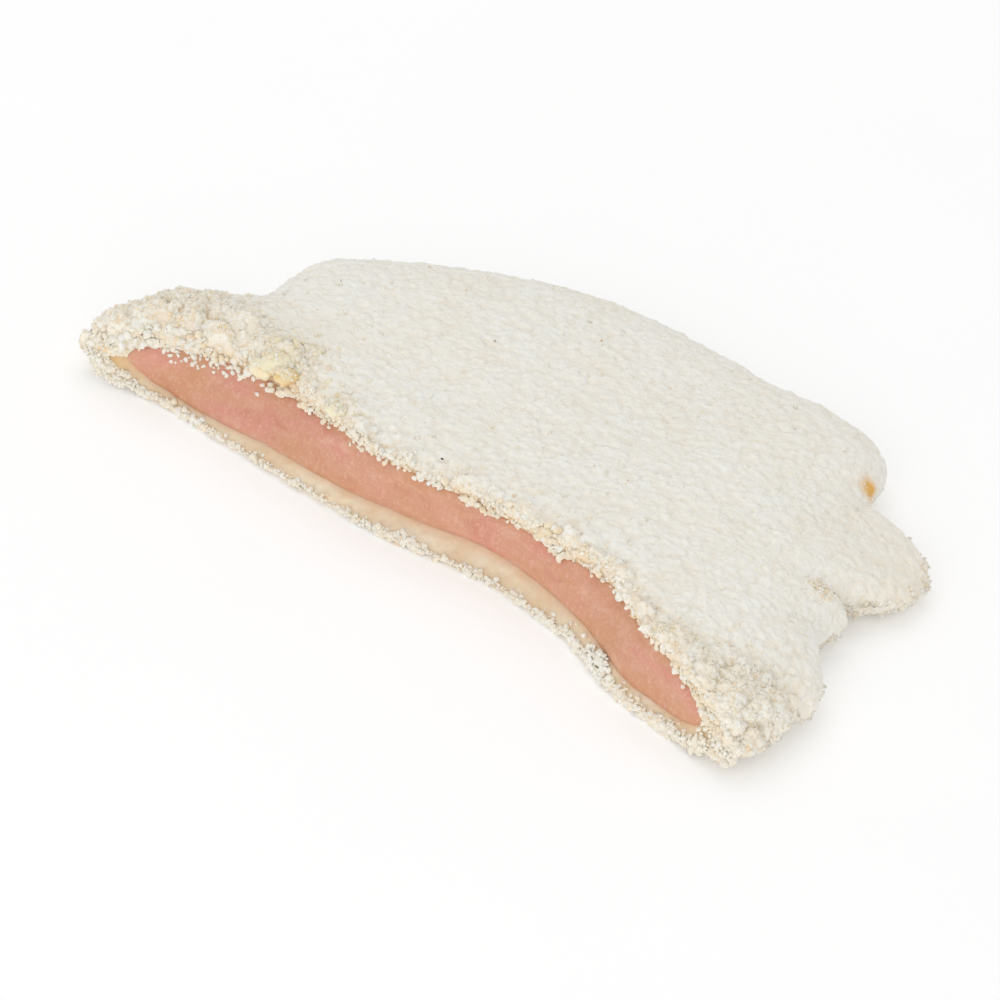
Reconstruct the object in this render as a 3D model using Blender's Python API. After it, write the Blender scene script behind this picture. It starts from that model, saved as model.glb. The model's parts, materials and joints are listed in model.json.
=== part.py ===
"""Half of a crumbed chicken schnitzel, uncooked, as cut across with a knife.

Three pieces, one inside the other, all open at the cut:
  crumb_coat       fresh white breadcrumb, pressed on all round
  egg_flour_layer  the thin wet layer of egg and flour that holds the crumb
  chicken_fillet   the flattened breast fillet

Frame: +X along the cut, +Y from the cut to the rounded back, +Z up. The
origin is under the middle of the piece, on the surface that it rests on.
Sizes below are in millimetres, and MM turns them into Blender's metres.
"""

import math

import bmesh
import bpy
from mathutils import Vector, noise

MM = 0.001

# ---------------------------------------------------------------- plan
CENTRE_X, CENTRE_Y = 76.0, 10.0     # middle of the whole schnitzel's outline
RADIUS = 77.0                       # its mean radius
# Lobes and hollows of the outline: direction in degrees, height, half width.
LOBES = (
    (181.0, 1.0, 6.0),              # corner roll by the cut, left
    (160.0, -10.0, 8.0),            # hollow behind it
    (128.0, -1.0, 12.0),
    (66.0, 8.5, 11.0),              # back corner
    (54.6, -3.6, 3.4),              # small fold between corner and flap
    (42.0, 8.0, 9.0),               # flap
    (31.0, -6.0, 2.8),              # tear behind the flap
    (20.5, -8.0, 8.0),              # pulled-in side
)
RIM_LUMP = 0.9                      # how far the rim wanders in and out
RIM_LUMP_SPAN = 9.0

# ---------------------------------------------------------------- height
THICK = 15.4                        # crumb to crumb at the cut
BACK_DROP = 3.4                     # how much lower it is at the back
SIDE_DROP = 2.6                     # and at the two ends of the cut
FLAP_DROP = 3.2                     # the flap is thinner than the rest
RIM_LEVEL = 0.42                    # height of the widest line, as a share
FLAT_SHARE = 0.75                   # of the radius, flat where it rests
SWELL = 0.55                        # slow swells of the top
SWELL_SPAN = 34.0
# Clumps of crumb on the top: x, y, height, half width along x, along y.
CLUMPS = (
    (34.8, 14.5, 1.7, 4.0, 5.5),    # thick pale clump
    (49.5, 11.5, 0.9, 3.2, 3.2),
    (9.0, 11.0, 1.1, 6.5, 6.0),     # rolled corner, left
    (20.0, 18.0, 0.9, 7.0, 5.0),
    (145.0, 7.0, 0.9, 5.0, 6.0),    # rolled corner, right
    (128.5, 6.5, 0.6, 4.0, 3.0),
)

# ---------------------------------------------------------------- cut
CUT_SET_BACK = 4.2                  # the knife's line against the centre line
CUT_BOW = 6.2                       # its hollow
CUT_BOW_X, CUT_BOW_SPAN = 89.0, 22.0
CUT_TOE = 2.5                       # it runs forward again at the right end
CUT_SLANT = 0.10                    # mm back for each mm up
SLANT_LEFT, SLANT_LEFT_X, SLANT_LEFT_SPAN = 0.52, 33.0, 19.0
SLANT_RIGHT, SLANT_RIGHT_X, SLANT_RIGHT_SPAN = 0.34, 115.0, 15.0
CUT_WAVER = 0.35
LIP, LIP_MORE = 0.6, 2.2            # lower crumb stands out under the meat
LIP_X, LIP_SPAN = 80.0, 24.0
LIP_RISE = 3.6

# ---------------------------------------------------------------- layers
CRUMB_TOP, CRUMB_UNDER, CRUMB_RIM = 2.0, 1.4, 3.4
CRUMB_END = 2.8                     # more of it at the two ends of the cut
EGG_TOP, EGG_UNDER, EGG_RIM = 0.7, 0.9, 1.2
UNDER_EXTRA = 1.5                   # thicker egg and flour under the middle
UNDER_X, UNDER_SPAN = 84.0, 32.0
EGG_END = 1.6
END_LEFT, END_RIGHT, END_SPAN = 181.0, -9.0, 17.0
GAP = 0.3                           # between two pieces
MEAT_BACK, EGG_BACK = 0.9, 0.4      # how far each stands back from the crumb

# Middle of the finished piece's box, in the plan's own numbers.
BOX_X, BOX_Y = 75.34, 43.36


def bell(distance, span):
    return math.exp(-((distance / span) ** 2))


def step(low, high, value):
    t = min(1.0, max(0.0, (value - low) / (high - low)))
    return t * t * (3.0 - 2.0 * t)


def outline(angle):
    """Distance from the centre to the crumb's outermost line."""
    degrees = math.degrees(angle)
    radius = RADIUS
    for direction, height, span in LOBES:
        away = (degrees - direction + 180.0) % 360.0 - 180.0
        radius += height * bell(away, span)
    at = Vector((math.cos(angle), math.sin(angle), 0.0)) * (RADIUS / RIM_LUMP_SPAN)
    return radius + RIM_LUMP * noise.noise(at + Vector((3.1, 7.7, 1.3)))


def smooth_top(x, y):
    """Height of the top without its clumps, before the rim rolls over."""
    back = step(8.0, 96.0, y)
    side = abs(x - CENTRE_X) / RADIUS
    height = THICK - BACK_DROP * back - SIDE_DROP * side**4
    height -= FLAP_DROP * bell(math.hypot(x - 136.0, y - 64.0), 16.0)
    return height + SWELL * noise.noise(Vector((x / SWELL_SPAN, y / SWELL_SPAN, 4.2)))


def clumps(x, y):
    return sum(
        rise * bell(x - cx, along) * bell(y - cy, across)
        for cx, cy, rise, along, across in CLUMPS)


def ends(angle):
    """One at the two ends of the cut, falling to nothing away from them."""
    degrees = math.degrees(angle)
    total = 0.0
    for direction in (END_LEFT, END_RIGHT):
        away = (degrees - direction + 180.0) % 360.0 - 180.0
        total += bell(away, END_SPAN)
    return total


def knife(x, z):
    """Where the cut is at this x and height."""
    line = CUT_SET_BACK * step(0.0, 18.0, x) * (1.0 - step(106.0, 128.0, x))
    line += CUT_BOW * bell(x - CUT_BOW_X, CUT_BOW_SPAN)
    line -= CUT_TOE * step(130.0, 150.0, x)
    line += CUT_WAVER * noise.noise(Vector((x / 11.0, z / 7.0, 9.4)))
    slant = CUT_SLANT + SLANT_LEFT * bell(x - SLANT_LEFT_X, SLANT_LEFT_SPAN)
    slant += SLANT_RIGHT * bell(x - SLANT_RIGHT_X, SLANT_RIGHT_SPAN)
    return line + slant * max(0.0, z - 1.0)


def lip(x, z):
    """How far the lower crumb stands out of the cut."""
    out = LIP + LIP_MORE * bell(x - LIP_X, LIP_SPAN)
    return out * (1.0 - step(0.0, LIP_RISE, z))


def place(x, y, z):
    return Vector(((x - BOX_X) * MM, (y - BOX_Y) * MM, z * MM))


def slab(name, rim, end, top, under, extra, segments, rings):
    """The whole schnitzel's body, drawn in by rim at its outline (and by end
    more at the ends of the cut), by top from above and by under from below.
    Rings run from the middle of the top over the rim to the middle of the
    underside."""
    bm = bmesh.new()
    shares = [math.sin(0.5 * math.pi * (i / rings)) ** 0.72 for i in range(1, rings + 1)]

    def height(x, y, share, upper):
        high = smooth_top(x, y) - top + (clumps(x, y) if top == 0.0 else 0.0)
        low = under + extra * bell(x - UNDER_X, UNDER_SPAN)
        level = low + RIM_LEVEL * (high - low)
        if upper:
            return level + (high - level) * (1.0 - share**9) ** 0.5
        turn = max(0.0, (share - FLAT_SHARE) / (1.0 - FLAT_SHARE))
        return level - (level - low) * (1.0 - turn**2.4) ** 0.5

    def ring(share, upper):
        made = []
        for i in range(segments):
            angle = 2.0 * math.pi * i / segments
            radius = (outline(angle) - rim - end * ends(angle)) * share
            x = CENTRE_X + radius * math.cos(angle)
            y = CENTRE_Y + radius * math.sin(angle)
            made.append(bm.verts.new(place(x, y, height(x, y, share, upper))))
        return made

    def middle(upper):
        return bm.verts.new(place(CENTRE_X, CENTRE_Y, height(CENTRE_X, CENTRE_Y, 0.0, upper)))

    loops = [ring(s, True) for s in shares]
    under_shares = [s for s in reversed(shares[:-1])][::2]
    loops += [ring(s, False) for s in under_shares]
    first, last = middle(True), middle(False)
    for i in range(segments):
        j = (i + 1) % segments
        bm.faces.new((first, loops[0][i], loops[0][j]))
        bm.faces.new((last, loops[-1][j], loops[-1][i]))
        for outer, inner in zip(loops, loops[1:]):
            bm.faces.new((outer[i], inner[i], inner[j], outer[j]))
    bmesh.ops.recalc_face_normals(bm, faces=bm.faces)
    mesh = bpy.data.meshes.new(name)
    bm.to_mesh(mesh)
    bm.free()
    piece = bpy.data.objects.new(name, mesh)
    bpy.context.scene.collection.objects.link(piece)
    return piece


def cutter(name, back, lipped):
    """A block in front of the cut, whose back face is the knife's surface."""
    bm = bmesh.new()
    xs = [-22.0 + 4.0 * i for i in range(50)]
    zs = [-8.0, -2.0, 0.0, 1.2, 2.4, 3.8, 6.5, 9.5, 12.5, 16.0, 20.0, 26.0]
    grid = []
    for z in zs:
        row = []
        for x in xs:
            y = knife(x, z) + back - (lip(x, z) if lipped else 0.0)
            row.append(bm.verts.new(place(x, y, z)))
        grid.append(row)
    faces = []
    for low, high in zip(grid, grid[1:]):
        for i in range(len(xs) - 1):
            faces.append(bm.faces.new((low[i], low[i + 1], high[i + 1], high[i])))
    rim = [e for e in bm.edges if len(e.link_faces) == 1]
    made = bmesh.ops.extrude_edge_only(bm, edges=rim)["geom"]
    front = [v for v in made if isinstance(v, bmesh.types.BMVert)]
    for v in front:
        v.co.y = (-110.0 - BOX_Y) * MM
    bmesh.ops.contextual_create(
        bm, geom=[e for e in bm.edges if e.verts[0] in front and e.verts[1] in front])
    bmesh.ops.recalc_face_normals(bm, faces=bm.faces)
    mesh = bpy.data.meshes.new(name)
    bm.to_mesh(mesh)
    bm.free()
    block = bpy.data.objects.new(name, mesh)
    block.hide_render = True
    block.display_type = "WIRE"
    bpy.context.scene.collection.objects.link(block)
    return block


def hide(piece):
    piece.hide_render = True
    piece.display_type = "WIRE"
    return piece


def take_away(piece, other, name):
    modifier = piece.modifiers.new(name, "BOOLEAN")
    modifier.operation = "DIFFERENCE"
    modifier.solver = "EXACT"
    modifier.object = other


def paint(piece, name, colour, roughness):
    material = bpy.data.materials.new(name)
    material.use_nodes = True
    shader = material.node_tree.nodes["Principled BSDF"]
    shader.inputs["Base Color"].default_value = (*colour, 1.0)
    shader.inputs["Roughness"].default_value = roughness
    shader.inputs["Metallic"].default_value = 0.0
    piece.data.materials.append(material)
    piece.data.shade_smooth()
    piece.data.set_sharp_from_angle(angle=math.radians(50.0))


def main():
    for thing in list(bpy.data.objects):
        bpy.data.objects.remove(thing)

    gap = (GAP, 0.0, GAP, GAP)
    crumb = (CRUMB_RIM, CRUMB_END, CRUMB_TOP, CRUMB_UNDER)
    egg = (EGG_RIM, EGG_END, EGG_TOP, EGG_UNDER)
    egg_out = tuple(a + b for a, b in zip(crumb, gap))
    egg_in = tuple(a + b for a, b in zip(egg_out, egg))
    meat = tuple(a + b for a, b in zip(egg_in, gap))

    coat = slab("crumb_coat", 0.0, 0.0, 0.0, 0.0, 0.0, 112, 13)
    coat_inside = hide(slab("cut_coat_inside", *crumb, 0.0, 72, 9))
    layer = slab("egg_flour_layer", *egg_out, 0.0, 72, 9)
    egg_inside = hide(slab("cut_egg_inside", *egg_in, UNDER_EXTRA, 72, 9))
    fillet = slab("chicken_fillet", *meat, UNDER_EXTRA, 72, 9)

    take_away(coat, coat_inside, "hollow")
    take_away(coat, cutter("knife_crumb", 0.0, True), "cut")
    take_away(layer, egg_inside, "hollow")
    take_away(layer, cutter("knife_egg", EGG_BACK, True), "cut")
    take_away(fillet, cutter("knife_meat", MEAT_BACK, False), "cut")

    paint(coat, "fresh_crumb", (0.80, 0.79, 0.71), 0.9)
    paint(layer, "egg_and_flour", (0.76, 0.63, 0.44), 0.55)
    paint(fillet, "raw_chicken", (0.68, 0.34, 0.24), 0.4)


main()
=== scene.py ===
"""Looks of the cut half of an uncooked crumbed chicken schnitzel.

Plan numbers are in millimetres, as in the CAD source: x along the cut, y from
the cut to the rounded back, z up. to_frame() turns them into the row frame.
"""

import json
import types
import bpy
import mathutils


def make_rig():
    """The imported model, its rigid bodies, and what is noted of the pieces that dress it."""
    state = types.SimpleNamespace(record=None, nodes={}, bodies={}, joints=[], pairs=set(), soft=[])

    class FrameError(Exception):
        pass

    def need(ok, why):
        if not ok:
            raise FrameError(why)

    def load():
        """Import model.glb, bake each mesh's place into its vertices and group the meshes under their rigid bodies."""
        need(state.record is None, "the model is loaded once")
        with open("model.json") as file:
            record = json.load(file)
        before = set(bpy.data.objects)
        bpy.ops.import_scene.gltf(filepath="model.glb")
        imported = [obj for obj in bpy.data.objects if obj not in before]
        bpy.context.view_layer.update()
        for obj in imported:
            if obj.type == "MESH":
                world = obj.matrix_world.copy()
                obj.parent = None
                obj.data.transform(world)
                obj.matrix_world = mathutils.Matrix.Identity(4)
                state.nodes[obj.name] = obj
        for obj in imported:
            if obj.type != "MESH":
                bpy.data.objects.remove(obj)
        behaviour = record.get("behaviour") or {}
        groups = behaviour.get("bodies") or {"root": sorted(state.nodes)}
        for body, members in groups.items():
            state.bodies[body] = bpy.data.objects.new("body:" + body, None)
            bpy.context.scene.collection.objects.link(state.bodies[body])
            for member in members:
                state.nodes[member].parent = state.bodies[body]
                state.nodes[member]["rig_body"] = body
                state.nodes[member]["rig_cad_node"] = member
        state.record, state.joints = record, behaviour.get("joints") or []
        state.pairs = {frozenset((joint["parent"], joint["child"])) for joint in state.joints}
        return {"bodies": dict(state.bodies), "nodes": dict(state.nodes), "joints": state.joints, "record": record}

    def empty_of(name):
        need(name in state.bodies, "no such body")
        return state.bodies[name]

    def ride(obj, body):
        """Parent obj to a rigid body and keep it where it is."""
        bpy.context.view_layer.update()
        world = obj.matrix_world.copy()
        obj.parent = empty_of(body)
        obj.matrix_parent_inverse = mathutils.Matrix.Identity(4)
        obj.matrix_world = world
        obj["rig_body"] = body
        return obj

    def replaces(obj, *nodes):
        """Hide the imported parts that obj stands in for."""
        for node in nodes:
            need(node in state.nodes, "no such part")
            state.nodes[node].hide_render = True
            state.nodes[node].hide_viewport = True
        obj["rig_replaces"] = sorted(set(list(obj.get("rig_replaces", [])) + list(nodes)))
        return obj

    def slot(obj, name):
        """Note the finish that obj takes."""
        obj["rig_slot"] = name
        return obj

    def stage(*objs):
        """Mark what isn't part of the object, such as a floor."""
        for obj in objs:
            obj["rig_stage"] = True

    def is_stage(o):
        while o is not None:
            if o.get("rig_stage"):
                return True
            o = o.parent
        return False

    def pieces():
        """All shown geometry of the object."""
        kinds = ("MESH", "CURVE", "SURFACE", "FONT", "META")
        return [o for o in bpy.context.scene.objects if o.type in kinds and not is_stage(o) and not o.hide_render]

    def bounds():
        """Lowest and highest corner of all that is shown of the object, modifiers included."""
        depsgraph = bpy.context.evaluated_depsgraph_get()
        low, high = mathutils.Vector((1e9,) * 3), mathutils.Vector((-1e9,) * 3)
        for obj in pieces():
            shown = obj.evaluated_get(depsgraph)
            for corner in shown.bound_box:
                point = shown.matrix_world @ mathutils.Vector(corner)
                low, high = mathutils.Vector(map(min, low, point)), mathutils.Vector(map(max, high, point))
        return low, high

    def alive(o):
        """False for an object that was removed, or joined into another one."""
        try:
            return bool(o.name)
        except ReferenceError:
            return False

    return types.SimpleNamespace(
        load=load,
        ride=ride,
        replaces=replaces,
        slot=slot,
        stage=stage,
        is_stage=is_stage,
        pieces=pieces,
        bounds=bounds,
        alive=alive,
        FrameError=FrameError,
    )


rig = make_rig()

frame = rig.load()

import json
import math

import bpy
import numpy as np
from mathutils import Matrix, Vector, kdtree, noise

CAD_LOW, CAD_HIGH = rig.bounds()
MM = 0.001

# ------------------------------------------------- the CAD's own dimensions
CENTRE_X, CENTRE_Y = 76.0, 10.0
RADIUS = 77.0
LOBES = (
    (181.0, 1.0, 6.0),
    (160.0, -10.0, 8.0),
    (128.0, -1.0, 12.0),
    (66.0, 8.5, 11.0),
    (54.6, -3.6, 3.4),
    (42.0, 8.0, 9.0),
    (31.0, -6.0, 2.8),
    (20.5, -8.0, 8.0),
)
RIM_LUMP, RIM_LUMP_SPAN = 0.9, 9.0
THICK, BACK_DROP, SIDE_DROP, FLAP_DROP = 15.4, 3.4, 2.6, 3.2
RIM_LEVEL, FLAT_SHARE = 0.42, 0.75
SWELL, SWELL_SPAN = 0.55, 34.0
CLUMPS = (
    (34.8, 14.5, 1.7, 4.0, 5.5),
    (49.5, 11.5, 0.9, 3.2, 3.2),
    (9.0, 11.0, 1.1, 6.5, 6.0),
    (20.0, 18.0, 0.9, 7.0, 5.0),
    (145.0, 7.0, 0.9, 5.0, 6.0),
    (128.5, 6.5, 0.6, 4.0, 3.0),
)
CUT_SET_BACK, CUT_BOW, CUT_BOW_X, CUT_BOW_SPAN = 4.2, 6.2, 89.0, 22.0
CUT_TOE, CUT_SLANT = 2.5, 0.10
SLANT_LEFT, SLANT_LEFT_X, SLANT_LEFT_SPAN = 0.52, 33.0, 19.0
SLANT_RIGHT, SLANT_RIGHT_X, SLANT_RIGHT_SPAN = 0.34, 115.0, 15.0
CUT_WAVER = 0.35
LIP, LIP_MORE, LIP_X, LIP_SPAN, LIP_RISE = 0.6, 2.2, 80.0, 24.0, 3.6
END_LEFT, END_RIGHT, END_SPAN = 181.0, -9.0, 17.0
UNDER_X, UNDER_SPAN = 84.0, 32.0
BOX_X, BOX_Y = 75.34, 43.36

# Insets of each layer's outside: rim, more at the ends, top, under, middle.
COAT = (0.0, 0.0, 0.0, 0.0, 0.0)
PASTE = (3.5, 2.8, 2.1, 0.9, 0.0)
MEAT = (5.0, 4.4, 3.1, 2.7, 1.5)


# ------------------------------------------------------------ plain numbers
def bell(distance, span):
    return np.exp(-((np.asarray(distance, float) / span) ** 2))


def step(low, high, value):
    t = np.clip((np.asarray(value, float) - low) / (high - low), 0.0, 1.0)
    return t * t * (3.0 - 2.0 * t)


def mix(a, b, t):
    return a + (b - a) * t


def lin(*srgb):
    """Linear colour of an sRGB one given as 0 to 255."""
    c = np.array(srgb, float) / 255.0
    return np.where(c <= 0.04045, c / 12.92, ((c + 0.055) / 1.055) ** 2.4)


def kit_noise(x, y, z):
    """The noise that the CAD source uses."""
    x, y, z = np.broadcast_arrays(x, y, z)
    at = zip(x.ravel().tolist(), y.ravel().tolist(), z.ravel().tolist())
    return np.fromiter((noise.noise(p) for p in at), float, x.size).reshape(x.shape)


_dice = np.random.default_rng(11)
_PERM = np.concatenate([_dice.permutation(256)] * 2)
_GRAD = _dice.normal(size=(256, 3))
_GRAD /= np.linalg.norm(_GRAD, axis=1, keepdims=True)


def grain(points):
    """Gradient noise, about -1 to 1, for many points at once."""
    p = np.asarray(points, float)
    base = np.floor(p).astype(int)
    f = p - base
    u = f * f * f * (f * (f * 6 - 15) + 10)
    total = np.zeros(len(p))
    for dx in (0, 1):
        for dy in (0, 1):
            for dz in (0, 1):
                h = _PERM[(base[:, 0] + dx) & 255]
                h = _PERM[(h + base[:, 1] + dy) & 255]
                h = _PERM[(h + base[:, 2] + dz) & 255]
                away = f - (dx, dy, dz)
                w = (
                    (u[:, 0] if dx else 1 - u[:, 0])
                    * (u[:, 1] if dy else 1 - u[:, 1])
                    * (u[:, 2] if dz else 1 - u[:, 2])
                )
                total += w * (_GRAD[h] * away).sum(1)
    return total * 1.7


def layers(points, span, octaves=3, keep=0.5):
    total, size, top = 0.0, 1.0, 0.0
    for i in range(octaves):
        total = total + size * grain(np.asarray(points) / span * 2.0**i + 17.3 * i)
        top += size
        size *= keep
    return total / top


# ------------------------------------------------------------------- shape
_degrees = np.linspace(-180.0, 180.0, 4321)
_radians = np.radians(_degrees)
_outline = np.full(len(_degrees), RADIUS)
for _direction, _height, _span in LOBES:
    _outline += _height * bell((_degrees - _direction + 180.0) % 360.0 - 180.0, _span)
_outline += RIM_LUMP * kit_noise(
    np.cos(_radians) * RADIUS / RIM_LUMP_SPAN + 3.1,
    np.sin(_radians) * RADIUS / RIM_LUMP_SPAN + 7.7,
    1.3,
)
_ends = sum(
    bell((_degrees - d + 180.0) % 360.0 - 180.0, END_SPAN) for d in (END_LEFT, END_RIGHT)
)


def turned(angle):
    return (np.degrees(angle) + 180.0) % 360.0 - 180.0


def outline(angle):
    return np.interp(turned(angle), _degrees, _outline)


def ends(angle):
    return np.interp(turned(angle), _degrees, _ends)


def smooth_top(x, y):
    back = step(8.0, 96.0, y)
    side = np.abs(x - CENTRE_X) / RADIUS
    height = THICK - BACK_DROP * back - SIDE_DROP * side**4
    height = height - FLAP_DROP * bell(np.hypot(x - 136.0, y - 64.0), 16.0)
    return height + SWELL * kit_noise(x / SWELL_SPAN, y / SWELL_SPAN, 4.2)


def clumps(x, y):
    return sum(
        rise * bell(x - cx, along) * bell(y - cy, across)
        for cx, cy, rise, along, across in CLUMPS
    )


def knife(x, z):
    x, z = np.asarray(x, float), np.asarray(z, float)
    line = CUT_SET_BACK * step(0.0, 18.0, x) * (1.0 - step(106.0, 128.0, x))
    line = line + CUT_BOW * bell(x - CUT_BOW_X, CUT_BOW_SPAN)
    line = line - CUT_TOE * step(130.0, 150.0, x)
    line = line + CUT_WAVER * kit_noise(x / 11.0, z / 7.0, 9.4)
    slant = CUT_SLANT + SLANT_LEFT * bell(x - SLANT_LEFT_X, SLANT_LEFT_SPAN)
    slant = slant + SLANT_RIGHT * bell(x - SLANT_RIGHT_X, SLANT_RIGHT_SPAN)
    return line + slant * np.maximum(0.0, z - 1.0)


def lip(x, z):
    out = LIP + LIP_MORE * bell(x - LIP_X, LIP_SPAN)
    return out * (1.0 - step(0.0, LIP_RISE, z))


def share_of(x, y, body):
    angle = np.arctan2(y - CENTRE_Y, x - CENTRE_X)
    radius = outline(angle) - body[0] - body[1] * ends(angle)
    return np.hypot(x - CENTRE_X, y - CENTRE_Y) / radius


def spans(x, y, body):
    """Lowest, widest and highest level of a body at this place."""
    high = smooth_top(x, y) - body[2]
    if body[2] == 0.0:
        high = high + clumps(x, y)
    low = body[3] + body[4] * bell(x - UNDER_X, UNDER_SPAN)
    return low, low + RIM_LEVEL * (high - low), high


def upper(x, y, body):
    low, level, high = spans(x, y, body)
    s = np.clip(share_of(x, y, body), 0.0, 1.0)
    return level + (high - level) * np.sqrt(np.maximum(0.0, 1.0 - s**9))


def lower(x, y, body):
    low, level, high = spans(x, y, body)
    s = np.clip(share_of(x, y, body), 0.0, 1.0)
    turn = np.maximum(0.0, (s - FLAT_SHARE) / (1.0 - FLAT_SHARE))
    return level - (level - low) * np.sqrt(np.maximum(0.0, 1.0 - turn**2.4))


def tip(body, back, left):
    """Where a body's outline meets the knife, at the left or right end."""
    xs = np.linspace(-4.0, 40.0, 1200) if left else np.linspace(158.0, 112.0, 1200)
    z = np.full(len(xs), 6.0)
    for _ in range(4):
        y = knife(xs, z) + back
        z = spans(xs, y, body)[1]
    y = knife(xs, z) + back
    first = int(np.argmax(share_of(xs, y, body) < 0.9985))
    return float(xs[first]), float(y[first]), float(z[first])


def resample(points, count, ease=0.0):
    """Even steps along a line of points; ease packs them towards the ends."""
    gaps = np.linalg.norm(np.diff(points, axis=0), axis=1)
    far = np.concatenate([[0.0], np.cumsum(gaps)])
    t = np.linspace(0.0, 1.0, count)
    t = mix(t, 0.5 - 0.5 * np.cos(np.pi * t), ease) * far[-1]
    return np.stack([np.interp(t, far, points[:, i]) for i in range(3)], axis=1)


def rims(body, back, lipped, count):
    """Upper and lower edge of a body at the cut, from left tip to right."""
    left, right = tip(body, back, True), tip(body, back, False)
    u = np.linspace(0.0, 1.0, 900)
    xs = left[0] + (right[0] - left[0]) * (0.5 - 0.5 * np.cos(np.pi * u))
    made = []
    for above in (True, False):
        z = np.full(len(xs), 12.0 if above else 3.0)
        for _ in range(24):
            y = knife(xs, z) + back
            if lipped:
                y = y - lip(xs, z)
            wanted = upper(xs, y, body) if above else lower(xs, y, body)
            z = mix(z, wanted, 0.5)
        y = knife(xs, z) + back - (lip(xs, z) if lipped else 0.0)
        line = np.stack([xs, y, z], axis=1)
        line[0], line[-1] = left, right
        made.append(resample(line, count, 0.25))
    return made


# ------------------------------------------------------------------ meshes
def to_frame(points):
    return (np.asarray(points, float) - (BOX_X, BOX_Y, 0.0)) * MM


def grid_faces(rows, columns, offset=0, flip=False):
    i, j = np.meshgrid(np.arange(rows - 1), np.arange(columns - 1), indexing="ij")
    a = (i * columns + j).ravel() + offset
    quads = np.stack([a, a + columns, a + columns + 1, a + 1], axis=1)
    return quads[:, ::-1] if flip else quads


def make(name, points, faces, material, tint=None, smooth=True, uv=None, normals=None):
    """One object from plan points in mm, faces of one size and vertex tints."""
    mesh = bpy.data.meshes.new(name)
    points = np.array(points, float)
    points[:, 2] = np.maximum(points[:, 2], 0.02)
    points = to_frame(points)
    faces = np.asarray(faces)
    sides = faces.shape[1]
    mesh.vertices.add(len(points))
    mesh.vertices.foreach_set("co", points.astype(np.float32).ravel())
    mesh.loops.add(faces.size)
    mesh.loops.foreach_set("vertex_index", faces.astype(np.int32).ravel())
    mesh.polygons.add(len(faces))
    mesh.polygons.foreach_set("loop_start", np.arange(0, faces.size, sides, dtype=np.int32))
    mesh.polygons.foreach_set("use_smooth", np.full(len(faces), smooth))
    mesh.update(calc_edges=True)
    if tint is not None:
        layer = mesh.attributes.new("tint", "FLOAT_COLOR", "POINT")
        rgba = np.ones((len(points), 4), np.float32)
        rgba[:, :3] = tint
        layer.data.foreach_set("color", rgba.ravel())
    if uv is not None:
        layer = mesh.uv_layers.new(name="OFBake")
        layer.uv.foreach_set("vector", np.asarray(uv, np.float32)[faces.ravel()].ravel())
    mesh.materials.append(material)
    if normals is not None:
        mesh.normals_split_custom_set_from_vertices(normals.tolist())
    piece = bpy.data.objects.new(name, mesh)
    bpy.context.scene.collection.objects.link(piece)
    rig.ride(piece, "root")
    return piece


def grid_normals(grid):
    """Outward normals of a grid of points."""
    a = np.gradient(grid, axis=0)
    b = np.gradient(grid, axis=1)
    n = np.cross(a, b)
    size = np.linalg.norm(n, axis=2, keepdims=True)
    return n / np.maximum(size, 1e-9)


# ---------------------------------------------------------------- materials
def nodes_of(name):
    material = bpy.data.materials.new(name)
    material.use_nodes = True
    tree = material.node_tree
    return material, tree, tree.nodes["Principled BSDF"]


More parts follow.
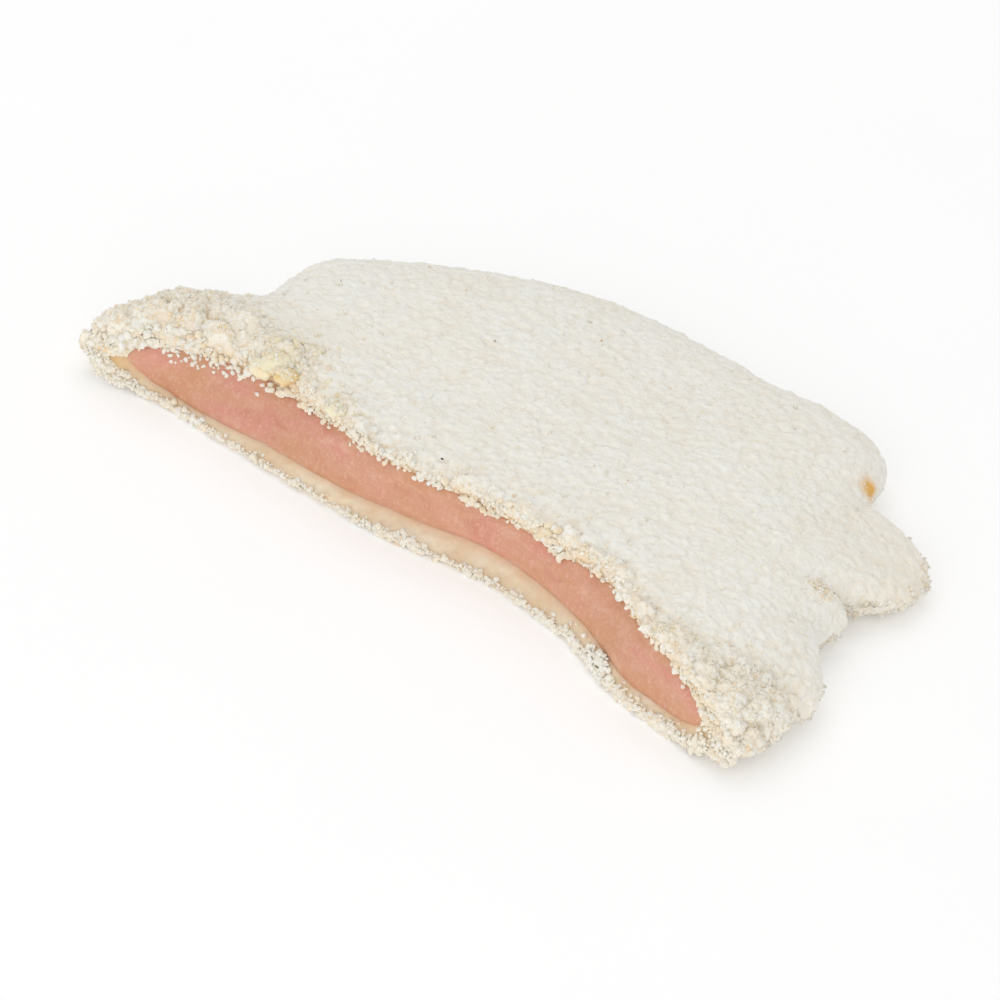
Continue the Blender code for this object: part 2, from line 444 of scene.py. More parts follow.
class Wires:
    """Short names for building a node tree."""

    def __init__(self, tree):
        self.tree = tree
        self.at = self.add("ShaderNodeTexCoord").outputs["Object"]

    def add(self, kind, **values):
        node = self.tree.nodes.new(kind)
        for key, value in values.items():
            setattr(node, key, value)
        return node

    def link(self, a, b):
        self.tree.links.new(a, b)

    def stretch(self, scale, turn=(0.0, 0.0, 0.0)):
        node = self.add("ShaderNodeMapping")
        node.inputs["Scale"].default_value = scale
        node.inputs["Rotation"].default_value = turn
        self.link(self.at, node.inputs["Vector"])
        return node.outputs["Vector"]

    def noise(self, size_mm, detail=2.0, rough=0.5, at=None, distortion=0.0):
        node = self.add("ShaderNodeTexNoise")
        node.inputs["Scale"].default_value = 1000.0 / size_mm
        node.inputs["Detail"].default_value = detail
        node.inputs["Roughness"].default_value = rough
        node.inputs["Distortion"].default_value = distortion
        self.link(at or self.at, node.inputs["Vector"])
        return node.outputs["Fac"]

    def cells(self, size_mm, feature="F1", at=None, output="Distance"):
        node = self.add("ShaderNodeTexVoronoi", feature=feature)
        node.inputs["Scale"].default_value = 1000.0 / size_mm
        self.link(at or self.at, node.inputs["Vector"])
        return node.outputs[output]

    def ramp(self, value, low, high, out_low=0.0, out_high=1.0):
        node = self.add("ShaderNodeMapRange")
        node.inputs["From Min"].default_value = low
        node.inputs["From Max"].default_value = high
        node.inputs["To Min"].default_value = out_low
        node.inputs["To Max"].default_value = out_high
        self.link(value, node.inputs["Value"])
        return node.outputs["Result"]

    def maths(self, kind, a, b):
        node = self.add("ShaderNodeMath", operation=kind)
        for socket, value in zip(node.inputs, (a, b)):
            if isinstance(value, (int, float)):
                socket.default_value = value
            else:
                self.link(value, socket)
        return node.outputs["Value"]

    def blend(self, a, b, share, kind="MIX"):
        node = self.add("ShaderNodeMix", data_type="RGBA", blend_type=kind)
        for key, value in (("A", a), ("B", b)):
            socket = next(s for s in node.inputs if s.name == key and s.type == "RGBA")
            if isinstance(value, (tuple, list, np.ndarray)):
                socket.default_value = (*value, 1.0)
            else:
                self.link(value, socket)
        factor = node.inputs["Factor"]
        if isinstance(share, (int, float)):
            factor.default_value = share
        else:
            self.link(share, factor)
        return next(s for s in node.outputs if s.type == "RGBA")

    def read(self, name, output):
        node = self.add("ShaderNodeAttribute", attribute_name=name)
        return node.outputs[output]

    def bump(self, height, strength, depth_mm, under=None):
        node = self.add("ShaderNodeBump")
        node.inputs["Strength"].default_value = strength
        node.inputs["Distance"].default_value = depth_mm * MM
        self.link(height, node.inputs["Height"])
        if under is not None:
            self.link(under, node.inputs["Normal"])
        return node.outputs["Normal"]


def crumb_material(name, depth_mm, cell_mm):
    """Fresh white breadcrumb: torn, porous and matt, with painted warm shade in its hollows."""
    material, tree, shader = nodes_of(name)
    w = Wires(tree)
    tint = w.read("tint", "Color")
    bent = w.add("ShaderNodeVectorMath", operation="ADD")
    warp = w.add("ShaderNodeTexNoise")
    warp.inputs["Scale"].default_value = 1000.0 / 0.9
    warp.inputs["Detail"].default_value = 2.0
    w.link(w.at, warp.inputs["Vector"])
    shift = w.add("ShaderNodeVectorMath", operation="SCALE")
    shift.inputs["Scale"].default_value = 0.00045
    w.link(warp.outputs["Color"], shift.inputs[0])
    w.link(w.at, bent.inputs[0])
    w.link(shift.outputs["Vector"], bent.inputs[1])
    grains = w.cells(cell_mm, "SMOOTH_F1", bent.outputs["Vector"])
    fine = w.noise(0.45, 3.0, 0.6)
    broad = w.noise(8.0, 2.0)
    specks = w.noise(1.6, 2.0, 0.6)
    # Painted shade: the tint turns darker and warmer towards the hollows between the grains.
    colour = w.blend(tint, (0.97, 0.94, 0.885), w.ramp(grains, 0.30, 0.66, 0.0, 0.75), "MULTIPLY")
    colour = w.blend(colour, (0.985, 0.97, 0.935), w.ramp(fine, 0.47, 0.30, 0.0, 0.5), "MULTIPLY")
    colour = w.blend(colour, (0.95, 0.885, 0.75), w.ramp(specks, 0.38, 0.26, 0.0, 0.7), "MULTIPLY")
    colour = w.blend(colour, (0.985, 0.97, 0.94), w.ramp(broad, 0.48, 0.34, 0.0, 0.7), "MULTIPLY")
    w.link(colour, shader.inputs["Base Color"])
    w.link(w.ramp(fine, 0.3, 0.7, 0.98, 0.82), shader.inputs["Roughness"])
    normal = w.bump(w.ramp(grains, 0.0, 0.7, 1.0, 0.0), 0.7, depth_mm)
    normal = w.bump(fine, 0.5, 0.14, normal)
    w.link(normal, shader.inputs["Normal"])
    shader.inputs["Specular IOR Level"].default_value = 0.2
    # The torn threads of the bread catch the light at a slant.
    shader.inputs["Sheen Weight"].default_value = 0.45
    shader.inputs["Sheen Roughness"].default_value = 0.6
    shader.inputs["Sheen Tint"].default_value = (1.0, 0.975, 0.94, 1.0)
    return material


def paste_material():
    """Egg and flour: a moist cream paste, yellower where it is thin."""
    material, tree, shader = nodes_of("egg_flour_paste")
    w = Wires(tree)
    tint = w.read("tint", "Color")
    patch = w.noise(3.2, 3.0, 0.55)
    fine = w.noise(0.7, 3.0, 0.6)
    colour = w.blend(tint, (1.0, 0.93, 0.80), w.ramp(patch, 0.52, 0.72, 0.0, 0.6), "MULTIPLY")
    colour = w.blend(colour, (1.06, 1.06, 1.06), w.ramp(fine, 0.5, 0.75, 0.0, 0.8), "MULTIPLY")
    w.link(colour, shader.inputs["Base Color"])
    w.link(w.ramp(patch, 0.3, 0.7, 0.34, 0.62), shader.inputs["Roughness"])
    normal = w.bump(patch, 0.5, 0.5)
    normal = w.bump(fine, 0.45, 0.16, normal)
    w.link(normal, shader.inputs["Normal"])
    shader.inputs["Subsurface Weight"].default_value = 0.4
    shader.inputs["Subsurface Radius"].default_value = (1.0, 0.7, 0.4)
    shader.inputs["Subsurface Scale"].default_value = 0.002
    return material


def meat_material():
    """Raw chicken breast, cut clean: mottled pink and apricot, fine fibres."""
    material, tree, shader = nodes_of("raw_chicken")
    w = Wires(tree)
    tint = w.read("tint", "Color")
    along = w.stretch((0.45, 1.0, 1.0), (0.0, 0.30, 0.0))
    across = w.stretch((1.0, 1.0, 0.20), (0.0, 0.50, 0.0))
    cloud = w.noise(8.0, 3.0, 0.55, along)
    patch = w.noise(2.4, 3.0, 0.6, along, 0.5)
    strand = w.noise(0.9, 3.0, 0.65, across, 0.3)
    dots = w.cells(0.95, "F1")
    grit = w.noise(0.55, 3.0, 0.65)
    colour = w.blend(tint, tuple(lin(219, 151, 132)), w.ramp(cloud, 0.49, 0.60, 0.0, 0.8))
    colour = w.blend(colour, tuple(lin(211, 153, 114)), w.ramp(cloud, 0.48, 0.36, 0.0, 0.85))
    # Lighter patches: partly the meat's own mottle, partly a painted faint highlight of its moist surface.
    colour = w.blend(colour, tuple(lin(226, 179, 155)), w.ramp(patch, 0.54, 0.70, 0.0, 0.6))
    colour = w.blend(colour, tuple(lin(204, 135, 106)), w.ramp(patch, 0.45, 0.28, 0.0, 0.55))
    colour = w.blend(colour, tuple(lin(238, 197, 180)), w.ramp(strand, 0.58, 0.76, 0.0, 0.45))
    colour = w.blend(colour, tuple(lin(236, 201, 180)), w.ramp(dots, 0.26, 0.10, 0.0, 0.35))
    colour = w.blend(colour, tuple(lin(240, 205, 186)), w.ramp(grit, 0.56, 0.74, 0.0, 0.45))
    w.link(colour, shader.inputs["Base Color"])
    w.link(w.ramp(patch, 0.3, 0.7, 0.34, 0.56), shader.inputs["Roughness"])
    normal = w.bump(cloud, 0.6, 0.9)
    normal = w.bump(strand, 0.6, 0.16, normal)
    normal = w.bump(grit, 0.45, 0.09, normal)
    w.link(normal, shader.inputs["Normal"])
    shader.inputs["Subsurface Weight"].default_value = 0.4
    shader.inputs["Subsurface Radius"].default_value = (1.0, 0.42, 0.25)
    shader.inputs["Subsurface Scale"].default_value = 0.0016
    shader.inputs["Coat Weight"].default_value = 0.12
    shader.inputs["Coat Roughness"].default_value = 0.3
    return material


def floor_material():
    material, tree, shader = nodes_of("pale_floor")
    w = Wires(tree)
    mottle = w.noise(60.0, 2.0)
    colour = w.blend((0.95, 0.95, 0.95), (0.97, 0.97, 0.97), mottle)
    w.link(colour, shader.inputs["Base Color"])
    w.link(w.ramp(mottle, 0.3, 0.7, 0.75, 0.85), shader.inputs["Roughness"])
    w.link(w.bump(w.noise(1.2, 2.0), 0.05, 0.05), shader.inputs["Normal"])
    shader.inputs["Specular IOR Level"].default_value = 0.2
    # The table under the food is lit a little from below.
    shader.inputs["Emission Color"].default_value = (1.0, 1.0, 1.0, 1.0)
    shader.inputs["Emission Strength"].default_value = 0.15
    return material


WHITE = lin(250, 250, 244)
CREAM = lin(250, 243, 228)
TAN = lin(241, 219, 192)
YELLOW = lin(250, 228, 188)
ORANGE = lin(238, 194, 130)
# Painted warm shade for the hollows of the crumb bed:
PAINTED_PIT_SHADE = lin(247, 232, 211)
WET = lin(246, 219, 182)
DARK = lin(84, 66, 54)

crumb_skin = crumb_material("fresh_crumb_bed", 0.30, 0.9)
crumb_bits = crumb_material("fresh_crumb_bits", 0.10, 0.6)
paste = paste_material()
meat = meat_material()


# -------------------------------------------------------------- crumb coat
ALONG, TOP_ROWS, UNDER_ROWS = 520, 196, 44

edge_top, edge_low = rims(COAT, 0.0, True, ALONG)
left_tip, right_tip = tip(COAT, 0.0, True), tip(COAT, 0.0, False)

# Rays from the cut to the outline, evenly spaced along the outline.
angle_left = math.atan2(left_tip[1] - CENTRE_Y, left_tip[0] - CENTRE_X) % (2 * math.pi)
angle_right = math.atan2(right_tip[1] - CENTRE_Y, right_tip[0] - CENTRE_X)
sweep = np.linspace(angle_left, angle_right, 4000)
reach = outline(sweep)
round_edge = np.stack(
    [CENTRE_X + reach * np.cos(sweep), CENTRE_Y + reach * np.sin(sweep), 0 * sweep], axis=1
)
round_edge = resample(round_edge, ALONG, 0.25)[:, :2]

# Even steps down a typical profile, from the middle to the rim.
profile_share = 1.0 - np.linspace(1.0, 0.0, 6000) ** 2
profile_up = 9.0 * np.sqrt(np.maximum(0.0, 1.0 - profile_share**9))
profile_turn = np.maximum(0.0, (profile_share - FLAT_SHARE) / (1.0 - FLAT_SHARE))
profile_down = -6.3 * np.sqrt(np.maximum(0.0, 1.0 - profile_turn**2.4))


def even_shares(first, rows, height):
    far = np.concatenate(
        [[0.0], np.cumsum(np.hypot(np.diff(profile_share * RADIUS), np.diff(height)))]
    )
    begin = np.interp(first, profile_share, far)
    wanted = begin[:, None] + (far[-1] - begin)[:, None] * np.linspace(0.0, 1.0, rows)[None]
    return np.interp(wanted, far, profile_share)


def rays(edge, rows, height, above):
    first = np.clip(share_of(edge[:, 0], edge[:, 1], COAT), 0.0, 0.9999)
    shares = even_shares(first, rows, height)
    s = np.clip((shares - first[:, None]) / (1.0 - first[:, None]), 0.0, 1.0)
    x = mix(edge[:, 0][:, None], round_edge[:, 0][:, None], s)
    y = mix(edge[:, 1][:, None], round_edge[:, 1][:, None], s)
    z = (upper if above else lower)(x, y, COAT)
    made = np.stack([x, y, z], axis=2)
    made[:, 0] = edge
    made[:, -1, 2] = spans(x[:, -1], y[:, -1], COAT)[1]
    made[0], made[-1] = edge[0], edge[-1]
    return made


top_rows = rays(edge_top, TOP_ROWS, profile_up, True)
under_rows = rays(edge_low, UNDER_ROWS, profile_down, False)
bed = np.concatenate([top_rows, under_rows[:, -2::-1]], axis=1)
bed_normals = grid_normals(bed)
bed_flat = bed.reshape(-1, 3)
normals_flat = bed_normals.reshape(-1, 3)

rng = np.random.default_rng(2024)


def spots_on(grid, count, weight, rng):
    """Random places on a grid of points, by area times a weight: the place,
    its row and column with fractions."""
    a = grid[:-1, :-1]
    b = grid[1:, :-1]
    c = grid[1:, 1:]
    d = grid[:-1, 1:]
    area = np.linalg.norm(np.cross(c - a, d - b), axis=2) / 2.0
    middle = (a + b + c + d) / 4.0
    chance = np.cumsum((area * weight(middle.reshape(-1, 3)).reshape(area.shape)).ravel())
    pick = np.searchsorted(chance, rng.random(count) * chance[-1])
    i, j = np.unravel_index(np.minimum(pick, chance.size - 1), area.shape)
    u, v = rng.random((2, count))
    at = (
        a[i, j] * ((1 - u) * (1 - v))[:, None]
        + b[i, j] * (u * (1 - v))[:, None]
        + c[i, j] * (u * v)[:, None]
        + d[i, j] * ((1 - u) * v)[:, None]
    )
    return at, i, j


def from_cut(points):
    """How far a point is behind the knife."""
    return points[:, 1] - knife(points[:, 0], points[:, 2])


def raggedness(points):
    """One where the crumb is loose and lumpy: at the cut and at its ends."""
    near = np.exp(-np.maximum(0.0, from_cut(points)) / 4.5)
    left = bell(np.hypot(points[:, 0] - 9.0, points[:, 1] - 12.0), 13.0)
    right = bell(np.hypot(points[:, 0] - 147.0, points[:, 1] - 4.0), 11.0)
    return np.clip(near * 0.8 + left + right, 0.0, 1.0)



def heap(points, count, weight, low, high, rng, steep, near=4):
    """A heap of pressed crumbs: a dome for each, the highest one wins."""
    at, _, _ = spots_on(bed, count, weight, rng)
    radius = rng.uniform(low, high, count)
    top = rng.uniform(0.45, 1.0, count)
    tree = kdtree.KDTree(count)
    for index, place in enumerate(at.tolist()):
        tree.insert(place, index)
    tree.balance()
    warped = points + 0.35 * low * np.stack(
        [grain(points / (1.1 * low) + s) for s in (3.1, 41.7, 87.9)], axis=1
    )
    found = [tree.find_n(p, near) for p in warped.tolist()]
    index = np.array([[f[1] for f in row] for row in found])
    away = np.array([[f[2] for f in row] for row in found])
    dome = np.maximum(0.0, 1.0 - (away / radius[index]) ** 2) ** steep
    return ((top[index] * dome) ** 5).sum(axis=1) ** 0.2


# Where loose crumb stands in mounds: x, y, half widths, height.
ROLL = (
    (3.5, 6.0, 3.6, 3.6, 1.1),
    (7.5, 10.5, 4.4, 4.4, 1.8),
    (11.5, 14.5, 5.0, 5.0, 2.3),
    (16.5, 17.5, 5.6, 5.0, 2.1),
    (22.0, 17.0, 6.0, 4.8, 1.6),
    (28.5, 16.0, 5.0, 5.0, 1.1),
)
CLUMP = (
    (34.4, 13.6, 4.2, 6.0, 1.9),
    (33.0, 10.4, 3.2, 2.6, 1.2),
    (38.6, 12.4, 2.2, 3.0, 0.9),
)
SMALL_CLUMPS = (
    (49.5, 11.0, 3.0, 2.8, 1.1),
    (43.5, 11.0, 2.6, 2.0, 0.6),
    (54.0, 10.6, 2.0, 1.8, 0.5),
    (108.0, 8.4, 3.2, 2.2, 0.6),
    (120.0, 6.4, 3.2, 2.2, 0.5),
    (128.5, 6.0, 3.6, 3.0, 0.9),
)
RIGHT_END = (
    (137.0, 6.0, 4.0, 3.4, 0.7),
    (142.0, 6.5, 4.4, 4.0, 1.0),
    (146.0, 4.0, 5.0, 4.4, 1.0),
    (149.0, 8.0, 3.4, 4.2, 0.7),
)


def mound(points, heaps):
    """How high the mounds stand here."""
    total = 0.0
    for x, y, wide, deep, high in heaps:
        away = ((points[:, 0] - x) / wide) ** 2 + ((points[:, 1] - y) / deep) ** 2
        total = total + (high * np.exp(-1.3 * away)) ** 4
    return total**0.25


def near_tips(count, over=26):
    """Nought at both ends of the cut, one a little way in."""
    i = np.arange(count)
    return step(0.0, over, np.minimum(i, count - 1 - i))


lumps = heap(bed_flat, 7600, lambda p: np.where(p[:, 2] > 1.5, 1.0, 0.3), 0.85, 1.50, rng, 0.9)
rough = raggedness(bed_flat)
loose = np.flatnonzero((rough > 0.12) & (bed_flat[:, 2] > 0.3))
tufts = np.zeros(len(bed_flat))
tufts[loose] = heap(bed_flat[loose], 300, lambda p: raggedness(p) ** 1.5, 1.5, 2.9, rng, 0.5)
dents = layers(bed_flat * (1.0, 1.0, 1.6), 13.0, 2)
swell = layers(bed_flat, 3.6, 3)
fuzz = layers(bed_flat, 1.0, 2)
is_under = step(1.6, 0.4, bed_flat[:, 2])
rise = (0.50 + 0.35 * rough) * (lumps - 0.55) + (0.14 + 0.25 * rough) * swell + 0.17 * fuzz
rise = rise + 1.9 * step(0.12, 0.7, rough) * (tufts - 0.55)
rise = rise + 0.30 * dents
heaped = mound(bed_flat, ROLL + CLUMP + SMALL_CLUMPS + RIGHT_END)
heaped = heaped * step(3.0, 7.5, bed_flat[:, 2]) * (0.75 + 0.6 * layers(bed_flat, 2.4, 2))
rise = rise * (1.0 - 0.5 * is_under) - 0.34 * is_under
inland = near_tips(ALONG, 10)[:, None].repeat(bed.shape[1], 1).ravel()
rise, heaped = rise * inland, heaped * inland
bed_shaped = bed_flat + normals_flat * rise[:, None]
forward = np.exp(-np.maximum(0.0, from_cut(bed_flat)) / 3.0)[:, None]
bed_shaped += heaped[:, None] * (forward * (0.0, -0.75, 0.0) + (0.0, 0.0, 0.95))
bed_shaped[:, 2] = np.maximum(bed_shaped[:, 2], 0.06)
bed = bed_shaped.reshape(bed.shape)

# How far a place lies down between the crumb domes; it carries the painted shade below.
hollow_shade = np.clip((0.55 - lumps) / 0.5, 0.0, 1.0)
patchy = np.clip(0.5 + 1.2 * layers(bed_flat, 16.0, 2), 0.0, 1.0)[:, None]
flap = bell(np.hypot(bed_flat[:, 0] - 138.0, bed_flat[:, 1] - 62.0), 15.0)[:, None]
bed_tint = mix(WHITE, CREAM, np.clip(0.35 * patchy + 0.5 * flap, 0.0, 1.0))
# Drier at the right end: less egg and less painted shade there.
drier_less_shaded = 1.0 - 0.55 * bell(np.hypot(bed_flat[:, 0] - 147.0, bed_flat[:, 1] - 8.0), 12.0)
# Painted warm shade in the hollows between the domes, more where the crumb is ragged.
bed_tint = mix(bed_tint, PAINTED_PIT_SHADE, ((0.22 + 0.4 * rough * drier_less_shaded) * hollow_shade)[:, None])
moist = rough * drier_less_shaded * step(-0.1, 0.5, layers(bed_flat, 4.0, 2))
bed_tint = mix(bed_tint, WET, (0.6 * moist)[:, None])
egg = mound(bed_flat, CLUMP) / 1.9
bed_tint = mix(bed_tint, YELLOW, np.clip(0.9 * egg, 0, 0.8)[:, None])
yolk = bell(np.linalg.norm(bed_flat - (118.6, 75.2, 7.0), axis=1), 1.8)
bed_tint = mix(bed_tint, lin(238, 180, 78), np.clip(1.5 * yolk, 0.0, 1.0)[:, None])


# The layers' edges on the cut waver, tapering to nothing at the tips.
def waver(x, span, seed):
    x = np.asarray(x, float)
    return layers(np.stack([x, 0 * x + seed, 0 * x + 0.7 * seed], axis=-1).reshape(-1, 3), span, 3)


def shift_edge(line, back, offset, lipped=False):
    made = line.copy()
    made[:, 2] += offset * step(0.0, 6.0, np.abs(line[:, 0] - line[0, 0])) * step(
        0.0, 6.0, np.abs(line[:, 0] - line[-1, 0])
    )
    inner = slice(1, -1)
    x, z = made[inner, 0], made[inner, 2]
    made[inner, 1] = knife(x, z) + back - (lip(x, z) if lipped else 0.0)
    return made


def sag(x):
    """How far the crumb hangs down over the meat from above."""
    return 0.9 * bell(x - 24.0, 14.0) + 1.1 * bell(x - 42.0, 8.0) + 1.5 * bell(x - 96.0, 16.0)


def paste_edges(count):
    top, low = rims(PASTE, 0.3, True, count)
    top = shift_edge(top, 0.3, 0.3 * waver(top[:, 0], 4.0, 3.0) - 0.8 * sag(top[:, 0]))
    low = shift_edge(
        low, 0.3,
        0.30 * waver(low[:, 0], 5.0, 8.0) - 0.45 * bell(low[:, 0] - 86.0, 9.0)
        - 0.5 * bell(low[:, 0] - 20.0, 13.0),
        True,
    )
    return top, low


def meat_edges(count):
    top, low = rims(MEAT, 0.7, False, count)
    top = shift_edge(top, 0.7, 0.5 * waver(top[:, 0], 6.0, 13.0) - sag(top[:, 0]))
    low = shift_edge(
        low, 0.7, 0.35 * waver(low[:, 0], 7.0, 18.0) - 0.9 * bell(low[:, 0] - 20.0, 14.0)
    )
    return top, low


# The coat at the cut: from the outer edge in to the paste.
paste_top, paste_low = paste_edges(ALONG)
BAND = 9
taper = near_tips(ALONG)[:, None]


def band(outside, inside, rows, push, seed):
    """A ragged strip across a layer's cut edge, pushed along -y."""
    share = np.linspace(0.0, 1.0, rows)[None, :, None]
    strip = mix(outside[:, None], inside[:, None], share)
    flat = strip.reshape(-1, 3)
    bulge = (np.sin(np.pi * np.linspace(0.0, 1.0, rows))[None] * taper).ravel()
    flat[:, 1] -= (0.25 + layers(flat + seed, 1.4, 3)) * push * bulge
    flat[:, 2] += 0.4 * layers(flat + seed + 9.0, 1.6, 2) * push * bulge
    return flat.reshape(strip.shape)


band_top = band(bed[:, 0], paste_top, BAND, 0.8, 5.0)
band_low = band(bed[:, -1], paste_low, BAND, 0.8, 15.0)


def cut_tint(strip, inner):
    flat = strip.reshape(-1, 3)
    blotch = np.clip(0.5 + layers(flat, 2.2, 2), 0.0, 1.0)
    depth = np.linspace(0.0, 1.0, strip.shape[1])[None].repeat(strip.shape[0], 0).ravel()
    made = mix(WHITE, CREAM, (0.4 + 0.6 * blotch)[:, None])
    return mix(made, inner, (step(0.1, 0.9, depth) * (0.45 + 0.5 * blotch))[:, None])


final_normals = grid_normals(bed)
for line in (final_normals[:, :1], final_normals[:, -1:]):
    line[:, :, 1] -= 0.5
final_normals /= np.maximum(np.linalg.norm(final_normals, axis=2, keepdims=True), 1e-9)
final_normals[0], final_normals[-1] = (-1.0, 0.0, 0.0), (1.0, 0.0, 0.0)


def coat_piece(name, first, last):
    """A stretch of the coat, as one piece."""
    strips = [grid[first:last] for grid in (bed, band_top, band_low)]
    normals = [
        final_normals[first:last].reshape(-1, 3),
        grid_normals(strips[1][:, ::-1]).reshape(strips[1].shape)[:, ::-1].reshape(-1, 3),
        grid_normals(strips[2]).reshape(-1, 3),
    ]
    points, faces = [], []
    for strip, flip in zip(strips, (False, True, False)):
        start = sum(len(p) for p in points)
        faces.append(grid_faces(strip.shape[0], strip.shape[1], start, flip))
        points.append(strip.reshape(-1, 3))
    tints = [
        bed_tint.reshape(bed.shape)[first:last].reshape(-1, 3),
        cut_tint(strips[1], WET),
        cut_tint(strips[2], CREAM),
    ]
    normals = np.concatenate(normals)
    normals[np.linalg.norm(normals, axis=1) < 0.5] = (0.0, -1.0, 0.0)
    piece = make(
        name, np.concatenate(points), np.concatenate(faces), crumb_skin,
        np.concatenate(tints), normals=normals,
    )
    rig.slot(piece, "crumb")
    return piece


coat = coat_piece("crumb_bed_left", 0, ALONG // 2 + 1)
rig.replaces(coat, "crumb_coat")
coat_piece("crumb_bed_right", ALONG // 2, ALONG)

# -------------------------------------------------------------------- paste
meat_top, meat_low = meat_edges(ALONG)


def inward(line, by):
    """The same line, further inside the food, so that no gap shows."""
    return line + (0.0, by, 0.0)


PASTE_ROWS = 12
strip_top = band(
    paste_top + taper * (0, -0.1, 0.2), meat_top + taper * (0, 0.5, -0.3), PASTE_ROWS, 0.30, 25.0
)
strip_low = band(
    paste_low + taper * (0, -0.3, -0.2), meat_low + taper * (0, 0.3, 0.3), PASTE_ROWS, 0.45, 35.0
)
tuck = np.array([0.0, 2.0, 0.5])
strip_top = np.concatenate([(paste_top + tuck * taper)[:, None], strip_top], axis=1)
tuck = np.array([0.0, 2.0, -0.6])
strip_low = np.concatenate([(paste_low + tuck * taper)[:, None], strip_low], axis=1)
flat_top, flat_low = strip_top.reshape(-1, 3), strip_low.reshape(-1, 3)
paste_points = np.concatenate([flat_top, flat_low])
paste_faces = np.concatenate(
    [
        grid_faces(ALONG, PASTE_ROWS + 1, flip=True),
        grid_faces(ALONG, PASTE_ROWS + 1, len(flat_top)),
    ]
)
depth = np.tile(np.linspace(0.0, 1.0, PASTE_ROWS + 1), ALONG)
depth = np.concatenate([depth, depth])
blotch = np.clip(0.5 + 1.1 * layers(paste_points, 4.0, 3), 0.0, 1.0)[:, None]
# The darker end of the blotches is partly the paste's own tone, partly painted shade.
paste_tint = mix(lin(239, 222, 196), lin(231, 206, 173), blotch)
paste_tint = mix(paste_tint, lin(230, 184, 150), (0.75 * step(0.55, 1.0, depth))[:, None])
ends_yellow = bell(paste_points[:, 0] - 4.0, 6.0) + 0.5 * bell(paste_points[:, 0] - 147.0, 6.0)
paste_tint = mix(paste_tint, lin(224, 180, 118), np.clip(0.9 * ends_yellow, 0, 1)[:, None])
on_top = np.arange(len(paste_points)) < len(flat_top)
paste_tint = mix(paste_tint, lin(225, 182, 137), np.where(on_top, 0.5, 0.0)[:, None])
layer = make("egg_flour_paste", paste_points, paste_faces, paste, paste_tint)
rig.replaces(layer, "egg_flour_layer")
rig.slot(layer, "egg_flour")

# --------------------------------------------------------------------- meat
MEAT_ALONG, MEAT_ROWS = 440, 40
cut_top, cut_low = meat_edges(MEAT_ALONG)
v = np.linspace(0.0, 1.0, MEAT_ROWS)
v = mix(v, 0.5 - 0.5 * np.cos(np.pi * v), 0.5)[None, :, None]
face = mix(cut_top[:, None], cut_low[:, None], v)
face[1:-1, :, 1] = knife(face[1:-1, :, 0], face[1:-1, :, 2]) + 0.7
inside = (1.0 - (2.0 * v[..., 0] - 1.0) ** 4) * np.minimum(
    1.0, np.linalg.norm(cut_top - cut_low, axis=1)[:, None] / 4.0
)
flat = face.reshape(-1, 3)
bulge = 0.70 + 0.45 * layers(flat, 8.0, 3) + 0.10 * layers(flat, 2.0, 2)
bulge = bulge + 0.05 * layers(flat * (1.0, 1.0, 0.35), 1.1, 2)
bulge = bulge + 0.7 * bell(np.hypot(flat[:, 0] - 15.0, flat[:, 2] - 8.0), 2.6)
face[:, :, 1] -= bulge.reshape(inside.shape) * inside
hide_top = inward(cut_top + (0, 0, 0.5), 2.5)[:, None]
hide_low = inward(cut_low - (0, 0, 0.5), 2.5)[:, None]
face = np.concatenate([hide_top, face, hide_low], axis=1)
flat = face.reshape(-1, 3)
meat_tint = np.tile(lin(215, 158, 129), (len(flat), 1))
depth = np.abs(np.linspace(-1.0, 1.0, MEAT_ROWS + 2))[None].repeat(MEAT_ALONG, 0).ravel()
meat_tint = mix(meat_tint, lin(222, 173, 138), (0.7 * step(0.70, 1.0, depth))[:, None])
rosy = bell(np.hypot(flat[:, 0] - 15.0, flat[:, 2] - 8.0), 5.0)
meat_tint = mix(meat_tint, lin(226, 157, 142), (0.6 * rosy)[:, None])
faces = grid_faces(MEAT_ALONG, MEAT_ROWS + 2, flip=True)
fillet = make("chicken_cut", flat, faces, meat, meat_tint)
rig.replaces(fillet, "chicken_fillet")
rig.slot(fillet, "chicken")


# ------------------------------------------------------------------- crumbs
def ball(cuts):
    """A sphere of triangles: points and faces."""
    p = (1.0 + 5.0**0.5) / 2.0
    points = [
        (-1, p, 0), (1, p, 0), (-1, -p, 0), (1, -p, 0), (0, -1, p), (0, 1, p),
        (0, -1, -p), (0, 1, -p), (p, 0, -1), (p, 0, 1), (-p, 0, -1), (-p, 0, 1),
    ]
    points = [np.array(q, float) / np.linalg.norm(q) for q in points]
    faces = [
        (0, 11, 5), (0, 5, 1), (0, 1, 7), (0, 7, 10), (0, 10, 11), (1, 5, 9), (5, 11, 4),
        (11, 10, 2), (10, 7, 6), (7, 1, 8), (3, 9, 4), (3, 4, 2), (3, 2, 6), (3, 6, 8),
        (3, 8, 9), (4, 9, 5), (2, 4, 11), (6, 2, 10), (8, 6, 7), (9, 8, 1),
    ]
    for _ in range(cuts):
        halves, finer = {}, []

        def half(a, b):
            key = (min(a, b), max(a, b))
            if key not in halves:
                q = points[a] + points[b]
                points.append(q / np.linalg.norm(q))
                halves[key] = len(points) - 1
            return halves[key]

        for a, b, c in faces:
            ab, bc, ca = half(a, b), half(b, c), half(c, a)
            finer += [(a, ab, ca), (b, bc, ab), (c, ca, bc), (ab, bc, ca)]
        faces = finer
    return np.array(points), np.array(faces)


